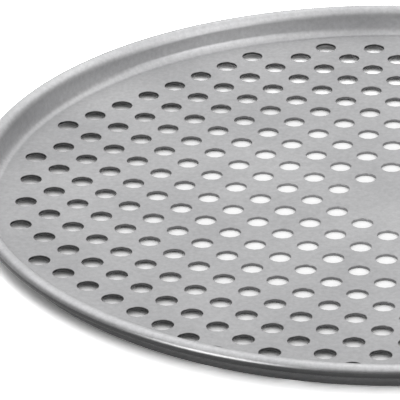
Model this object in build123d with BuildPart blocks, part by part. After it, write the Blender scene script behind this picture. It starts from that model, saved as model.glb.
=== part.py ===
from build123d import *
import os
from math import cos, hypot, pi, radians, sin, tan

# A perforated pizza pan: one pressed sheet whose edge is curled round a steel wire.
#
# Millimetres. +Z is up. The origin is the centre of the underside, where the pan rests on a table.
# The pan is round, so X and Y are only the two directions of its rows of vent holes.

# Overall size of the pan
overall_diameter = 356
overall_height = 15.5

# Pressed sheet: a flat base, a floor that rises gently round it, a corner and a steep wall
sheet_thickness = 1.2
base_radius = 73.5
floor_rise_angle = 1.5
corner_radius = 4
wall_angle = 83

# Rim: a shoulder where the wall turns outward, the curled edge, and the wire inside it
shoulder_radius = 4.2
wire_diameter = 2.8
wire_clearance = 0.15
wire_end_gap = 2
curl_angle = 228

# Vent holes, in rows that are staggered by half a pitch
hole_diameter = 9
row_spacing = 11
hole_border = 3.5
plain_centre_radius = 18

# Cutting tools run past the sheet by this much
overrun = 2

# The curl hugs the wire, and its outside makes the pan's full width and height
curl_inner_radius = wire_diameter / 2 + wire_clearance
bead_radius = curl_inner_radius + sheet_thickness
bead_centre_radius = overall_diameter / 2 - bead_radius
bead_centre_height = overall_height - bead_radius
shoulder_centre_height = overall_height - shoulder_radius


def bend_points(depth):
    """Where one face of the strip leaves the base, where floor and wall cross, and the wall's top."""
    rise = tan(radians(floor_rise_angle))
    flare = tan(radians(wall_angle))
    turn_radius = shoulder_radius - sheet_thickness + depth
    base_edge = base_radius - depth * tan(radians(floor_rise_angle / 2))
    top_radius = bead_centre_radius - turn_radius * sin(radians(wall_angle))
    top_height = shoulder_centre_height + turn_radius * cos(radians(wall_angle))
    wall_width = (top_height - depth - (top_radius - base_edge) * rise) / (flare - rise)
    crossing = (top_radius - wall_width, top_height - wall_width * flare)
    return (base_edge, depth), crossing, (top_radius, top_height)


def sheet_face(depth):
    """One face of the bent strip, from the axis to the end of the curl, depth above the underside."""
    points = bend_points(depth)
    Line((0, depth), points[0])
    FilletPolyline(*points, radius=corner_radius + sheet_thickness - depth)
    shoulder_centre = (bead_centre_radius, shoulder_centre_height)
    CenterArc(shoulder_centre, shoulder_radius - sheet_thickness + depth, 90 + wall_angle, -wall_angle)
    bead_centre = (bead_centre_radius, bead_centre_height)
    return CenterArc(bead_centre, curl_inner_radius + depth, 90, -curl_angle)


def floor_edge_radius():
    """Where the upper face starts to bend up from the floor into the wall."""
    crossing = bend_points(sheet_thickness)[1]
    bend_length = corner_radius * tan(radians((wall_angle - floor_rise_angle) / 2))
    return crossing[0] - bend_length * cos(radians(floor_rise_angle))


def vent_holes():
    """Crossings of two square grids, half a pitch apart, that lie in the ring between centre and rim."""
    field_radius = floor_edge_radius() - hole_border - hole_diameter / 2
    pitch = 2 * row_spacing
    even = 2 * round(field_radius / pitch) + 2
    grids = GridLocations(pitch, pitch, even, even + 1), GridLocations(pitch, pitch, even + 1, even)
    crossings = [spot.position for grid in grids for spot in grid.locations]
    return [p for p in crossings if plain_centre_radius < hypot(p.X, p.Y) < field_radius]


# Pressed sheet, turned from one bent strip and then punched
with BuildPart() as pan_sheet:
    with BuildSketch(Plane.XZ):
        with BuildLine():
            underside = sheet_face(0)
            top = sheet_face(sheet_thickness)
            Line(underside @ 1, top @ 1)
            Line((0, 0), (0, sheet_thickness))
        make_face()
    revolve(axis=Axis.Z)
    with BuildSketch(Plane.XY.offset(-overrun)):
        with Locations(*vent_holes()):
            Circle(hole_diameter / 2)
    extrude(amount=bead_centre_height, mode=Mode.SUBTRACT)
pan_sheet.part.label = "pan_sheet"

# Rim wire, a ring inside the curl that is open by a small gap where its ends meet
with BuildPart() as rim_wire:
    with BuildSketch(Plane.XZ):
        with Locations((bead_centre_radius, bead_centre_height)):
            Circle(wire_diameter / 2)
    revolve(axis=Axis.Z, revolution_arc=360 * (1 - wire_end_gap / (2 * pi * bead_centre_radius)))
rim_wire.part.label = "rim_wire"

os.makedirs("parts", exist_ok=True)
export_step(pan_sheet.part, "parts/pan_sheet.step", write_pcurves=False)
export_step(rim_wire.part, "parts/rim_wire.step", write_pcurves=False)
print("vent holes:", len(vent_holes()))
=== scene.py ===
import math

import bpy
import numpy as np
from mathutils import Matrix, Vector
from mathutils.geometry import delaunay_2d_cdt


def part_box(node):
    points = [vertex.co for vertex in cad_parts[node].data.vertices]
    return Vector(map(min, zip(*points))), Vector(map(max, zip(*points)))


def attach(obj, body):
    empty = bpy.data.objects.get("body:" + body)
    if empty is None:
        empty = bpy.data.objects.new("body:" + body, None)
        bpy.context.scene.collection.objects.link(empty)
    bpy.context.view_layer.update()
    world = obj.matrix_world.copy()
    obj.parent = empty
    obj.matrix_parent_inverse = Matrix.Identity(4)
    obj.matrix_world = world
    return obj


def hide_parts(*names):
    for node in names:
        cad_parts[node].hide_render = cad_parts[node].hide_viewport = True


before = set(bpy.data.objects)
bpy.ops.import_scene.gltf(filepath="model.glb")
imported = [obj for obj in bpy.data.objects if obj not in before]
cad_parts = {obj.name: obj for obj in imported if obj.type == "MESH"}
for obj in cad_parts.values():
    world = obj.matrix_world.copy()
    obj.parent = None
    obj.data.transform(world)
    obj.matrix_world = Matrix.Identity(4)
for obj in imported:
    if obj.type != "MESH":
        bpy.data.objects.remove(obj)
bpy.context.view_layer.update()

MM = 0.001

# Sizes of the rim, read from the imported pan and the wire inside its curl
pan_high = Vector(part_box("pan_sheet")[1])
wire_low, wire_high = (Vector(corner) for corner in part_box("rim_wire"))
BEAD_HEIGHT = (wire_low.z + wire_high.z) / 2
BEAD_RADIUS = pan_high.z - BEAD_HEIGHT
BEAD_CENTRE = pan_high.x - BEAD_RADIUS

# Pressed sheet: its thickness, the floor's rise, the corner, the wall, the shoulder and the curl
THICKNESS = 1.2 * MM
BASE_RADIUS = 73.5 * MM
RISE_BLEND = 14 * MM
RISE_ANGLE = math.radians(1.5)
CORNER_RADIUS = 4 * MM
WALL_ANGLE = math.radians(83)
SHOULDER_RADIUS = 4.2 * MM
CURL_ANGLE = math.radians(228)

# Directions of the section's normals, as angles from straight outward
FLOOR_NORMAL = math.pi / 2 + RISE_ANGLE
WALL_NORMAL = math.pi / 2 + WALL_ANGLE
TOP_NORMAL = math.pi / 2
END_NORMAL = TOP_NORMAL - CURL_ANGLE

# Vent holes, and the die roll on their edges
HOLE_RADIUS = 4.5 * MM
ROW_SPACING = 11 * MM
HOLE_BORDER = 3.5 * MM
PLAIN_CENTRE_RADIUS = 18 * MM
EDGE_ROUND = 0.25 * MM

# How finely the mesh is cut
HOLE_SIDES = 24
RIM_SIDES = 288
CORNER_STEPS = 8
WALL_STEPS = 3
SHOULDER_STEPS = 8
CURL_STEPS = 24
INNER_CURL_STEPS = 12
END_STEPS = 4

# Helper points of the floor's mesh: a halo round each hole, and fill between the halos. The margins
# keep them off the floor's edge, and points closer than the last value are one point
HALO_RADIUS = 6.3 * MM
HALO_MARGIN = ROW_SPACING / 8
FILL_MARGIN = ROW_SPACING / 4
FILL_RADIUS = HALO_RADIUS * 1.1
SAME_POINT = 1e-9

# How bright the steel is painted in places, where the floor's middle is 1. Some of these are
# painted light or painted shade, as said above each
# Painted light: the floor is painted lighter towards its border, against the shade of the corner
# and wall
BORDER_PAINTED_LIGHT_TONE = 1.06
WALL_TONE = 0.97
# Painted highlight: the round corner is painted lighter to stand in for its highlight
CORNER_PAINTED_HIGHLIGHT_TONE = 1.15
# Painted highlight: the bead is painted lighter to stand in for its highlights
BEAD_PAINTED_HIGHLIGHT_TONE = 1.3
# Painted shade: the bead's lower outside and the wall's outside are painted dark, for the shadowed
# table they reflect
BEAD_UNDER_PAINTED_SHADE_TONE = 0.16
OUTSIDE_PAINTED_SHADE_TONE = 0.3
# Painted shade: the underside is painted darker, which deepens the shade on the table under the pan
UNDERSIDE_PAINTED_SHADE_TONE = 0.45
HOLE_EDGE_TONE = 0.85
HOLE_TONE = 0.75
# Hole walls are a little darker sheared steel; towards the floor's edge they are painted darker
# still, as painted shade
OUTER_HOLE_PAINTED_SHADE_TONE = 0.1

# Where two tones blend: along the floor's border for its painted light, up the bead for its painted
# highlight, and by how far its outside faces up for its painted shade
BORDER_WIDTH = 20 * MM
BEAD_BLEND = BEAD_RADIUS / 2
OUTSIDE_SHADE_EDGE = (0.08, 0.75)

# How polished the steel is, from matt (0) to bright metal (1), and how rough those two ends are
FLOOR_POLISH = 0.1
RIM_POLISH = 0.7
OUTSIDE_POLISH = 0.95
HOLE_POLISH = 1.0
MATT_ROUGHNESS = 0.6
BRIGHT_ROUGHNESS = 0.25

# Colours of the sheet and of the wire, each from the darkest to the lightest place
SHEET_COLOURS = ((0.39, 0.39, 0.398, 1.0), (0.475, 0.475, 0.481, 1.0))
WIRE_COLOURS = ((0.3, 0.3, 0.31, 1.0), (0.42, 0.42, 0.43, 1.0))
WIRE_ROUGHNESS = 0.4

# Noises of the steel, with their scales per metre, and the values that most of a noise lies between
CLOUDS = {"Scale": 18.0, "Detail": 3.0, "Roughness": 0.5}
SPECKLES = {"Scale": 500.0, "Detail": 3.0, "Roughness": 0.7}
GRAIN = {"Scale": 900.0, "Detail": 2.0, "Roughness": 0.6}
WIRE_MARKS = {"Scale": 300.0, "Detail": 2.0}
NOISE_SPAN = (0.3, 0.7)

# How much the speckles change the brightness, and how strong and deep the grain is
MOTTLE = 0.1
GRAIN_STRENGTH = 0.15
GRAIN_DEPTH = 0.05 * MM

# The photograph's camera, fitted to the pattern of holes: where it aims, from how far, and its lens
CAMERA_AZIMUTH = math.radians(3.996)
CAMERA_ELEVATION = math.radians(25.933)
CAMERA_ROLL = math.radians(-0.805)
CAMERA_AIM = Vector((-80.61, -2.41, 1.2)) * MM
CAMERA_DISTANCE = 1867 * MM
FOCAL_PIXELS = 4391.9
PHOTO_WIDTH_PIXELS = 400
SENSOR_MM = 36

# The studio: how bright its parts are, where white is 1
SIDE_LEVEL = 0.33
CAMERA_SIDE_LEVEL = 0.35
BACKDROP_LEVEL = 0.95
DOME_FRONT_LEVEL = 0.65
DOME_BACK_LEVEL = 1.35

# Where those parts begin and are full: along Y for the backdrop, the camera's side and the dome's
# own change from front to back, and along Z for the dome
BACKDROP_EDGE = (0.6, 0.9)
CAMERA_SIDE_EDGE = (-0.3, -0.8)
DOME_SPAN = (-0.8, 0.7)
DOME_EDGE = (0.35, 0.7)

# Soft lights in the studio: the direction of each, how much it adds, and how nearly another
# direction must agree with it, where 1 is fully, for the light to begin and to be full
RIGHT_LIGHT = ((0.711, -0.432, 0.545), 0.8, (0.80, 0.97))
LEFT_LIGHT = ((-0.68, -0.725, 0.1), 6.5, (0.92, 0.995))
LOW_LIGHT = ((0.81, -0.57, 0.11), 1.3, (0.88, 0.99))

# The table, and its whiteness for light, as the camera or a first reflection sees it, and as the
# camera sees it outside the pan, where the whiter table is painted light that narrows the pan's
# shadow. Rays of a first reflection are below the last value in depth
TABLE_HALF_WIDTH = 6000 * MM
TABLE_WHITE = 0.6
TABLE_WHITE_SEEN = 1.0
TABLE_WHITE_PAINTED_LIGHT = 3.5
FIRST_RAY_DEPTH = 1.5

# The oval outside which the table is painted whiter, as painted light that narrows the pan's
# shadow: the scale that makes it round, its centre, and the distances from there between which the
# table whitens
PAINTED_LIGHT_SQUEEZE = (0.94, 1.0, 0.0)
PAINTED_LIGHT_CENTRE = (0.0, 6 * MM, 0.0)
PAINTED_LIGHT_EDGE = (164 * MM, 173 * MM)

# Light that comes in under the back of the rim: how much whiter it makes the table, between which
# places along Y it comes up, and between which distances from the oval's centre it ends
BACK_GLOW = 1.2
BACK_GLOW_EDGE = (95 * MM, 150 * MM)
BACK_GLOW_END = (153 * MM, 158 * MM)


def blend(first, second, share):
    """The value at a share of the way from the first to the second."""
    return first + (second - first) * share


def direction(angle):
    """Unit vector at an angle from straight outward, as radius and height."""
    return np.array((math.cos(angle), math.sin(angle)))


def ring(radius, sides):
    """Points of a circle about the origin, as an array of x and y."""
    turn = np.arange(sides) * 2 * math.pi / sides
    return np.column_stack((np.cos(turn), np.sin(turn))) * radius


def shoulder_centre():
    """Centre of the round shoulder between the wall and the top of the curl."""
    return np.array((BEAD_CENTRE, BEAD_HEIGHT + BEAD_RADIUS - SHOULDER_RADIUS))


def corner_centre():
    """Centre of the round corner between the rising floor and the wall, as radius and height."""
    floor_normal = direction(FLOOR_NORMAL)
    wall_normal = direction(WALL_NORMAL)
    floor_point = np.array((BASE_RADIUS, THICKNESS))
    wall_point = shoulder_centre() + SHOULDER_RADIUS * wall_normal
    reach = (floor_normal @ floor_point + CORNER_RADIUS, wall_normal @ wall_point + CORNER_RADIUS)
    return np.linalg.solve(np.array((floor_normal, wall_normal)), np.array(reach))


def floor_edge_radius():
    """Distance from the axis at which the floor bends up into the corner."""
    return (corner_centre() - CORNER_RADIUS * direction(FLOOR_NORMAL))[0]


def floor_height(radius):
    """Height of the underside: flat in the middle, then rising, with a smooth change of slope."""
    start = BASE_RADIUS - RISE_BLEND
    slope = math.tan(RISE_ANGLE)
    bend = slope * (radius - start) ** 2 / (4 * RISE_BLEND)
    line = slope * (radius - BASE_RADIUS)
    return np.where(radius < start, 0.0, np.where(radius < BASE_RADIUS + RISE_BLEND, bend, line))


def floor_slope(radius):
    """Slope of the underside at a distance from the axis."""
    share = (radius - BASE_RADIUS + RISE_BLEND) / (2 * RISE_BLEND)
    return math.tan(RISE_ANGLE) * np.clip(share, 0.0, 1.0)


def vent_hole_places():
    """Centres of the vent holes: every second crossing of a square grid, inside the round field."""
    field_radius = floor_edge_radius() - HOLE_BORDER - HOLE_RADIUS
    count = int(field_radius / ROW_SPACING) + 1
    steps = np.arange(-count, count + 1)
    across, along = np.meshgrid(steps, steps)
    odd = (across + along) % 2 == 1
    spots = np.column_stack((across[odd], along[odd])) * ROW_SPACING
    far = np.hypot(*spots.T)
    return spots[(far > PLAIN_CENTRE_RADIUS) & (far < field_radius)]


def rings_round(holes, radius):
    """Points of a ring round each hole, one ring after the other."""
    return (holes[:, None, :] + ring(radius, HOLE_SIDES)[None]).reshape(-1, 2)


def hole_distance(points, holes):
    """Distance from each point to the nearest hole's centre."""
    nearest = np.full(len(points), np.inf)
    for x, y in holes:
        nearest = np.minimum(nearest, np.hypot(points[:, 0] - x, points[:, 1] - y))
    return nearest


def fill_points(holes, outer):
    """Points of a grid, half a row apart, that lie clear of the halos and the floor's edge."""
    count = int(outer / ROW_SPACING) + 1
    steps = np.arange(-2 * count, 2 * count + 1) / 2
    grid = np.array([(x, y) for x in steps for y in steps]) * ROW_SPACING
    inside = np.hypot(*grid.T) < outer - FILL_MARGIN
    return grid[inside & (hole_distance(grid, holes) > FILL_RADIUS)]


def floor_points(holes, outer):
    """Points of the floor: its edge, the hole rings, and the helper points between them.

    The ring of hole number k starts at RIM_SIDES + k * HOLE_SIDES.
    """
    rings = rings_round(holes, HOLE_RADIUS + EDGE_ROUND)
    halos = rings_round(holes, HALO_RADIUS)
    halos = halos[np.hypot(*halos.T) < outer - HALO_MARGIN]
    return np.vstack((ring(outer, RIM_SIDES), rings, halos, fill_points(holes, outer)))


def ring_edges(first, sides):
    """Edges of a closed ring of points, by their numbers."""
    return [(first + k, first + (k + 1) % sides) for k in range(sides)]


def floor_triangles(points, holes):
    """Triangles between the floor's points, with the holes left open."""
    edges = ring_edges(0, RIM_SIDES)
    for number in range(len(holes)):
        edges += ring_edges(RIM_SIDES + number * HOLE_SIDES, HOLE_SIDES)
    # Output type 0 gives triangles everywhere, in the holes too
    found = delaunay_2d_cdt([Vector(p) for p in points], edges, [], 0, SAME_POINT)
    triangles, given_points = found[2], found[3]
    faces = np.array([numbers[0] for numbers in given_points])[np.array(triangles)]
    middles = points[faces].mean(axis=1)
    return faces[hole_distance(middles, holes) > HOLE_RADIUS + EDGE_ROUND / 2]


def rim_section():
    """Section of the rim from the floor's edge, over the curl and back under the floor.

    Each row is radius, height and the two parts of the surface normal.
    """
    corner = corner_centre()
    shoulder = shoulder_centre()
    bead = np.array((BEAD_CENTRE, BEAD_HEIGHT))
    tip = bead + (BEAD_RADIUS - THICKNESS / 2) * direction(END_NORMAL)
    under_corner = CORNER_RADIUS + THICKNESS
    under_shoulder = SHOULDER_RADIUS - THICKNESS
    wall_out = direction(WALL_NORMAL)
    rows = []

    def add_arc(centre, radius, angles, side):
        for angle in angles:
            out = direction(angle)
            rows.append((*(centre + radius * out), *(side * out)))

    def add_wall(first, last, side):
        for share in np.linspace(0, 1, WALL_STEPS + 1)[1:-1]:
            rows.append((*blend(first, last, share), *(side * wall_out)))

    corner_angles = np.linspace(FLOOR_NORMAL, WALL_NORMAL, CORNER_STEPS + 1)[1:]
    shoulder_angles = np.linspace(WALL_NORMAL, TOP_NORMAL, SHOULDER_STEPS + 1)
    curl_angles = np.linspace(TOP_NORMAL, END_NORMAL, CURL_STEPS + 1)[1:]
    tip_angles = END_NORMAL - np.linspace(0, math.pi, END_STEPS + 1)[1:-1]
    inner_angles = np.linspace(END_NORMAL, TOP_NORMAL, INNER_CURL_STEPS + 1)

    add_arc(corner, -CORNER_RADIUS, corner_angles, 1)
    add_wall(corner - CORNER_RADIUS * wall_out, shoulder + SHOULDER_RADIUS * wall_out, 1)
    add_arc(shoulder, SHOULDER_RADIUS, shoulder_angles, 1)
    add_arc(bead, BEAD_RADIUS, curl_angles, 1)
    add_arc(tip, THICKNESS / 2, tip_angles, 1)
    add_arc(bead, BEAD_RADIUS - THICKNESS, inner_angles, -1)
    add_arc(shoulder, under_shoulder, shoulder_angles[::-1][1:], -1)
    add_wall(shoulder + under_shoulder * wall_out, corner - under_corner * wall_out, -1)
    add_arc(corner, -under_corner, corner_angles[::-1], -1)
    return rows


class MeshParts:
    """Points, normals, brightness with its painted light and shade, polish and faces gathered from
    several patches.
    """

    def __init__(self):
        self.points = []
        self.normals = []
        self.finish_and_painted_light = {"tone_and_painted_light": [], "polish": []}
        self.faces = []
        self.count = 0

    def add(self, points, normals, tone_and_painted_light, polish):
        """Adds points with their brightness, which holds painted light and shade, and their polish,
        and returns their numbers.
        """
        first = self.count
        self.points.append(np.asarray(points, float))
        self.normals.append(np.asarray(normals, float))
        self.finish_and_painted_light["tone_and_painted_light"].append(np.full(len(points), 1.0) * tone_and_painted_light)
        self.finish_and_painted_light["polish"].append(np.full(len(points), 1.0) * polish)
        self.count += len(points)
        return np.arange(first, self.count)

    def strip(self, one, two):
        """Quads between two closed rows of points, seen from the side where two is left of one."""
        after_one, after_two = np.roll(one, -1), np.roll(two, -1)
        self.faces += np.column_stack((one, after_one, after_two, two)).tolist()

    def mesh(self, name):
        """A mesh with the gathered normals, and the brightness with its painted light and shade and
        the polish as values of its points.
        """
        made = bpy.data.meshes.new(name)
        made.from_pydata(np.vstack(self.points).tolist(), [], self.faces)
        made.validate()
        made.shade_smooth()
        made.normals_split_custom_set_from_vertices(np.vstack(self.normals).tolist())
        for layer, values in self.finish_and_painted_light.items():
            attribute = made.attributes.new(layer, "FLOAT", "POINT")
            attribute.data.foreach_set("value", np.concatenate(values))
        return made


def floor_face(parts, points, side):
    """Adds the floor's points on its upper (side 1) or lower (side 0) face."""
    radius = np.hypot(*points.T)
    height = floor_height(radius) + side * THICKNESS
    # At the axis the slope is zero, and this keeps the radius from being zero too
    lean = (-floor_slope(radius) / np.maximum(radius, MM))[:, None] * points
    normals = np.column_stack((lean, np.ones(len(points))))
    normals /= np.linalg.norm(normals, axis=1)[:, None]
    # Painted light: the upper face is painted lighter towards the floor's border
    border = np.clip((radius - floor_edge_radius()) / BORDER_WIDTH + 1, 0.0, 1.0)
    # Painted shade: the lower face is painted darker
    tone_and_painted_light = blend(1.0, BORDER_PAINTED_LIGHT_TONE, border) if side else UNDERSIDE_PAINTED_SHADE_TONE
    place = np.column_stack((points, height))
    return parts.add(place, normals if side else -normals, tone_and_painted_light, FLOOR_POLISH)


def hole_wall(parts, hole, upper, lower):
    """Joins the upper and lower ring of one hole by its rounded edges and its wall."""
    out = ring(1.0, HOLE_SIDES)
    floor = floor_height(np.hypot(*(hole + (HOLE_RADIUS + EDGE_ROUND) * out).T))
    # The wall is darker sheared steel, painted darker towards the floor's edge as painted shade
    hole_wall_tone_and_shade = blend(HOLE_TONE, OUTER_HOLE_PAINTED_SHADE_TONE, np.hypot(*hole) / floor_edge_radius())
    halfway = (math.pi / 4, HOLE_EDGE_TONE, RIM_POLISH)
    upright = (math.pi / 2, hole_wall_tone_and_shade, HOLE_POLISH)
    rows = [upper]
    for side, (turn, tone_and_painted_light, polish) in ((1, halfway), (1, upright), (-1, upright), (-1, halfway)):
        radius = HOLE_RADIUS + EDGE_ROUND * (1 - math.sin(turn))
        drop = EDGE_ROUND * (1 - math.cos(turn))
        height = floor + THICKNESS - drop if side > 0 else floor + drop
        place = np.column_stack((hole + out * radius, height))
        rise = np.full(HOLE_SIDES, side * math.cos(turn))
        normals = np.column_stack((-out * math.sin(turn), rise))
        rows.append(parts.add(place, normals, tone_and_painted_light, polish))
    rows.append(lower)
    for one, two in zip(rows, rows[1:]):
        parts.strip(one, two)


def rim_finish_and_painted_light(height, radial, vertical):
    """Brightness, with painted highlights and painted shade, and polish of a point of the rim, by
    its height and by the way it faces.
    """
    # What the inside of the pan shows: corner, wall, shoulder and the bead's inner side, with
    # painted highlights lightening the corner and the bead
    if radial < 0 and vertical > 0:
        bead = np.clip((height - BEAD_HEIGHT) / BEAD_BLEND, 0.0, 1.0)
        corner = np.clip((BEAD_HEIGHT - height) / (BEAD_HEIGHT - corner_centre()[1]), 0.0, 1.0)
        return blend(WALL_TONE, BEAD_PAINTED_HIGHLIGHT_TONE, bead) + (CORNER_PAINTED_HIGHLIGHT_TONE - WALL_TONE) * corner, RIM_POLISH
    # The curl's hidden side, and the outside of the wall below the bead, painted dark as painted
    # shade
    if radial < 0 or height < BEAD_HEIGHT - BEAD_RADIUS:
        return OUTSIDE_PAINTED_SHADE_TONE, RIM_POLISH
    # The bead's outside: painted shade that darkens it the more it faces down, blending up into the
    # bead's painted highlight
    low, high = OUTSIDE_SHADE_EDGE
    share = np.clip((vertical - low) / (high - low), 0.0, 1.0)
    share = share ** 2 * (3 - 2 * share)
    return blend(BEAD_UNDER_PAINTED_SHADE_TONE, BEAD_PAINTED_HIGHLIGHT_TONE, share), blend(OUTSIDE_POLISH, RIM_POLISH, share)


def rim_faces(parts, upper_edge, lower_edge):
    """Sweeps the rim's section round the pan, between the upper and the lower edge of the floor."""
    around = ring(1.0, RIM_SIDES)
    rows = [upper_edge]
    for radius, height, radial, vertical in rim_section():
        place = np.column_stack((around * radius, np.full(RIM_SIDES, height)))
        normals = np.column_stack((around * radial, np.full(RIM_SIDES, vertical)))
        rows.append(parts.add(place, normals, *rim_finish_and_painted_light(height, radial, vertical)))
    rows.append(lower_edge)
    for one, two in zip(rows, rows[1:]):
        parts.strip(two, one)


def pressed_sheet():
    """The pan's sheet: perforated floor, round corner, flared wall and curled edge."""
    holes = vent_hole_places()
    points = floor_points(holes, floor_edge_radius())
    faces = floor_triangles(points, holes)
    parts = MeshParts()
    upper = floor_face(parts, points, 1)
    lower = floor_face(parts, points, 0)
    parts.faces += upper[faces].tolist()
    parts.faces += lower[faces[:, ::-1]].tolist()
    for number, hole in enumerate(holes):
        first = RIM_SIDES + number * HOLE_SIDES
        span = slice(first, first + HOLE_SIDES)
        hole_wall(parts, hole, upper[span], lower[span])
    rim_faces(parts, upper[:RIM_SIDES], lower[:RIM_SIDES])
    return parts.mesh("pressed_sheet")


def set_inputs(tree, made, inputs):
    """Sets a node's inputs, given by name or number, to values, or links them to other sockets."""
    for key, value in inputs.items():
        if isinstance(value, bpy.types.NodeSocket):
            tree.links.new(value, made.inputs[key])
        else:
            made.inputs[key].default_value = value


def node(tree, kind, inputs, **settings):
    """Adds a shader node with its settings, and sets or links its inputs."""
    made = tree.nodes.new(kind)
    for name, value in settings.items():
        setattr(made, name, value)
    set_inputs(tree, made, inputs)
    return made


def maths(tree, operation, one, two):
    """Combines two values."""
    made = node(tree, "ShaderNodeMath", {0: one, 1: two}, operation=operation)
    return made.outputs["Value"]


def vector_maths(tree, operation, one, two):
    """Combines two vectors. The node's Vector or Value is the result, as the operation says."""
    return node(tree, "ShaderNodeVectorMath", {0: one, 1: two}, operation=operation).outputs


def ramp(tree, source, edge, first, second, kind="LINEAR"):
    """Maps a value to a level that goes from the first to the second between the two edges."""
    inputs = {"Value": source, "To Min": first, "To Max": second}
    inputs["From Min"], inputs["From Max"] = edge
    return node(tree, "ShaderNodeMapRange", inputs, interpolation_type=kind).outputs["Result"]


def smooth_ramp(tree, source, edge, first, second):
    """Maps a value as ramp does, with a soft start and end."""
    return ramp(tree, source, edge, first, second, "SMOOTHSTEP")


def mix(tree, share, one, two):
    """Mixes two values by a share."""
    return node(tree, "ShaderNodeMix", {"Factor": share, "A": one, "B": two}).outputs["Result"]


def noise(tree, place, look):
    """A noise over the object's own coordinates."""
    return node(tree, "ShaderNodeTexNoise", {"Vector": place, **look}).outputs["Fac"]


def tinted(tree, source, span, colours):
    """Colours a noise, from the first colour to the second over the span."""
    made = node(tree, "ShaderNodeValToRGB", {"Fac": source})
    for stop, position, colour in zip(made.color_ramp.elements, span, colours):
        stop.position = position
        stop.color = colour
    return made.outputs["Color"]


def object_place(tree):
    """Place in the object's own coordinates."""
    return node(tree, "ShaderNodeTexCoord", {}).outputs["Object"]


def mesh_value(tree, layer):
    """A value that the mesh carries in its points."""
    return node(tree, "ShaderNodeAttribute", {}, attribute_name=layer).outputs["Fac"]


def new_material(name):
    """A new material, its nodes and its shader."""
    material = bpy.data.materials.new(name)
    material.use_nodes = True
    return material, material.node_tree, material.node_tree.nodes["Principled BSDF"]


def sheet_colour(tree, place):
    """Grey with faint clouds and fine speckles, as bright in each place as the mesh says, where the
    mesh carries painted light and shade.
    """
    clouded = tinted(tree, noise(tree, place, CLOUDS), NOISE_SPAN, SHEET_COLOURS)
    toned_with_painted_light = vector_maths(tree, "MULTIPLY", clouded, mesh_value(tree, "tone_and_painted_light"))["Vector"]
    speckled = ramp(tree, noise(tree, place, SPECKLES), NOISE_SPAN, 1 - MOTTLE, 1 + MOTTLE)
    return vector_maths(tree, "MULTIPLY", toned_with_painted_light, speckled)["Vector"]


def sheet_material():
    """Satin grey sheet steel with a fine grain, polished by use and painted lighter or darker, as
    painted light and shade, where the mesh says.
    """
    material, tree, shader = new_material("satin_sheet_steel")
    place = object_place(tree)
    polish = mesh_value(tree, "polish")
    bump = node(tree, "ShaderNodeBump", {
        "Height": noise(tree, place, GRAIN),
        "Strength": GRAIN_STRENGTH,
        "Distance": GRAIN_DEPTH,
    })
    set_inputs(tree, shader, {
        "Base Color": sheet_colour(tree, place),
        "Metallic": polish,
        "Roughness": ramp(tree, polish, (0.0, 1.0), MATT_ROUGHNESS, BRIGHT_ROUGHNESS),
        "Normal": bump.outputs["Normal"],
    })
    return material


def wire_material():
    """Drawn steel wire, darker than the sheet and a little marked."""
    material, tree, shader = new_material("drawn_steel_wire")
    marks = noise(tree, object_place(tree), WIRE_MARKS)
    set_inputs(tree, shader, {
        "Base Color": tinted(tree, marks, (0.0, 1.0), WIRE_COLOURS),
        "Metallic": 1.0,
        "Roughness": WIRE_ROUGHNESS,
    })
    return material


def table_white_for_light(tree, rays):
    """The table's whiteness for light, and pure white in a first reflection or refraction."""
    mirrored = maths(tree, "MAXIMUM", rays["Is Glossy Ray"], rays["Is Transmission Ray"])
    first = maths(tree, "LESS_THAN", rays["Ray Depth"], FIRST_RAY_DEPTH)
    seen = maths(tree, "MULTIPLY", mirrored, first)
    return ramp(tree, seen, (0.0, 1.0), TABLE_WHITE, TABLE_WHITE_SEEN)


def table_white_for_camera(tree):
    """The table's whiteness for the camera: painted light outside the pan, which narrows the pan's
    shadow, and painted light under its back.
    """
    place = object_place(tree)
    squeezed = vector_maths(tree, "MULTIPLY", place, PAINTED_LIGHT_SQUEEZE)["Vector"]
    away = vector_maths(tree, "DISTANCE", squeezed, PAINTED_LIGHT_CENTRE)["Value"]
    white = smooth_ramp(tree, away, PAINTED_LIGHT_EDGE, TABLE_WHITE_SEEN, TABLE_WHITE_PAINTED_LIGHT)
    along = node(tree, "ShaderNodeSeparateXYZ", {"Vector": place}).outputs["Y"]
    glow = ramp(tree, along, BACK_GLOW_EDGE, 0.0, BACK_GLOW)
    glow_left = ramp(tree, away, BACK_GLOW_END, 1.0, 0.0)
    return maths(tree, "ADD", white, maths(tree, "MULTIPLY", glow, glow_left))


def table_material():
    """Matt white, which is whiter for the camera and in first reflections than for light."""
    material, tree, shader = new_material("white_table")
    tree.nodes.remove(shader)
    rays = node(tree, "ShaderNodeLightPath", {}).outputs
    for_light = table_white_for_light(tree, rays)
    for_camera = table_white_for_camera(tree)
    white = mix(tree, rays["Is Camera Ray"], for_light, for_camera)
    matt = node(tree, "ShaderNodeBsdfDiffuse", {"Color": white}).outputs["BSDF"]
    set_inputs(tree, tree.nodes["Material Output"], {"Surface": matt})
    return material


def studio_floor():
    """A wide table top under the pan."""
    half = TABLE_HALF_WIDTH
    corners = [(-half, -half, 0), (half, -half, 0), (half, half, 0), (-half, half, 0)]
    made = bpy.data.meshes.new("studio_floor")
    made.from_pydata(corners, [], [(0, 1, 2, 3)])
    made.materials.append(table_material())
    floor = bpy.data.objects.new("studio_floor", made)
    bpy.context.collection.objects.link(floor)


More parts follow.
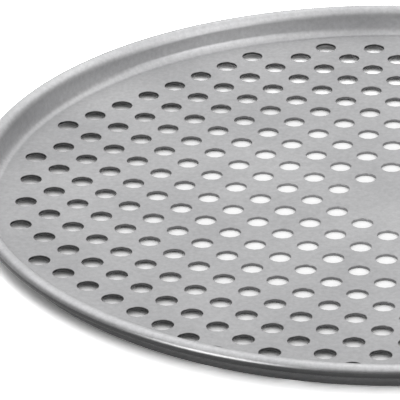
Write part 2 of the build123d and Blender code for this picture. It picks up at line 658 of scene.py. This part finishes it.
def studio_world():
    """A room with a white backdrop, a dome that is brighter at the back, and three soft lights."""
    world = bpy.data.worlds.new("studio")
    bpy.context.scene.world = world
    world.use_nodes = True
    tree = world.node_tree
    toward = node(tree, "ShaderNodeTexCoord", {}).outputs["Generated"]
    split = node(tree, "ShaderNodeSeparateXYZ", {"Vector": toward}).outputs
    sides = smooth_ramp(tree, split["Y"], CAMERA_SIDE_EDGE, SIDE_LEVEL, CAMERA_SIDE_LEVEL)
    back = smooth_ramp(tree, split["Y"], BACKDROP_EDGE, 0.0, 1.0)
    above = smooth_ramp(tree, split["Z"], DOME_EDGE, 0.0, 1.0)
    dome = smooth_ramp(tree, split["Y"], DOME_SPAN, DOME_FRONT_LEVEL, DOME_BACK_LEVEL)
    room = mix(tree, above, mix(tree, back, sides, BACKDROP_LEVEL), dome)
    for heading, level, edge in (RIGHT_LIGHT, LEFT_LIGHT, LOW_LIGHT):
        facing = vector_maths(tree, "DOT_PRODUCT", toward, heading)["Value"]
        room = maths(tree, "ADD", room, smooth_ramp(tree, facing, edge, 0.0, level))
    set_inputs(tree, tree.nodes["Background"], {"Color": room, "Strength": 1.0})


def photo_camera():
    """The camera that took the photograph, which shows a little over the pan's left half."""
    data = bpy.data.cameras.new("photo_camera")
    data.sensor_width = SENSOR_MM
    data.lens = SENSOR_MM * FOCAL_PIXELS / PHOTO_WIDTH_PIXELS
    flat = Vector((-math.sin(CAMERA_AZIMUTH), math.cos(CAMERA_AZIMUTH), 0))
    forward = flat * math.cos(CAMERA_ELEVATION) - Vector((0, 0, math.sin(CAMERA_ELEVATION)))
    right = Vector((math.cos(CAMERA_AZIMUTH), math.sin(CAMERA_AZIMUTH), 0))
    up = right.cross(forward)
    tilted_right = math.cos(CAMERA_ROLL) * right + math.sin(CAMERA_ROLL) * up
    tilted_up = math.cos(CAMERA_ROLL) * up - math.sin(CAMERA_ROLL) * right
    turn = Matrix((tilted_right, tilted_up, -forward)).transposed()
    camera = bpy.data.objects.new("photo_camera", data)
    camera.matrix_world = Matrix.Translation(CAMERA_AIM - forward * CAMERA_DISTANCE) @ turn.to_4x4()
    bpy.context.collection.objects.link(camera)
    bpy.context.scene.camera = camera


photo_camera()

sheet = bpy.data.objects.new("pressed_sheet", pressed_sheet())
bpy.context.collection.objects.link(sheet)
sheet.data.materials.append(sheet_material())
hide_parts("pan_sheet")
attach(sheet, "root")

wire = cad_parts["rim_wire"]
wire.material_slots[0].material = wire_material()

studio_floor()
studio_world()

bpy.context.scene.view_settings.view_transform = "Standard"
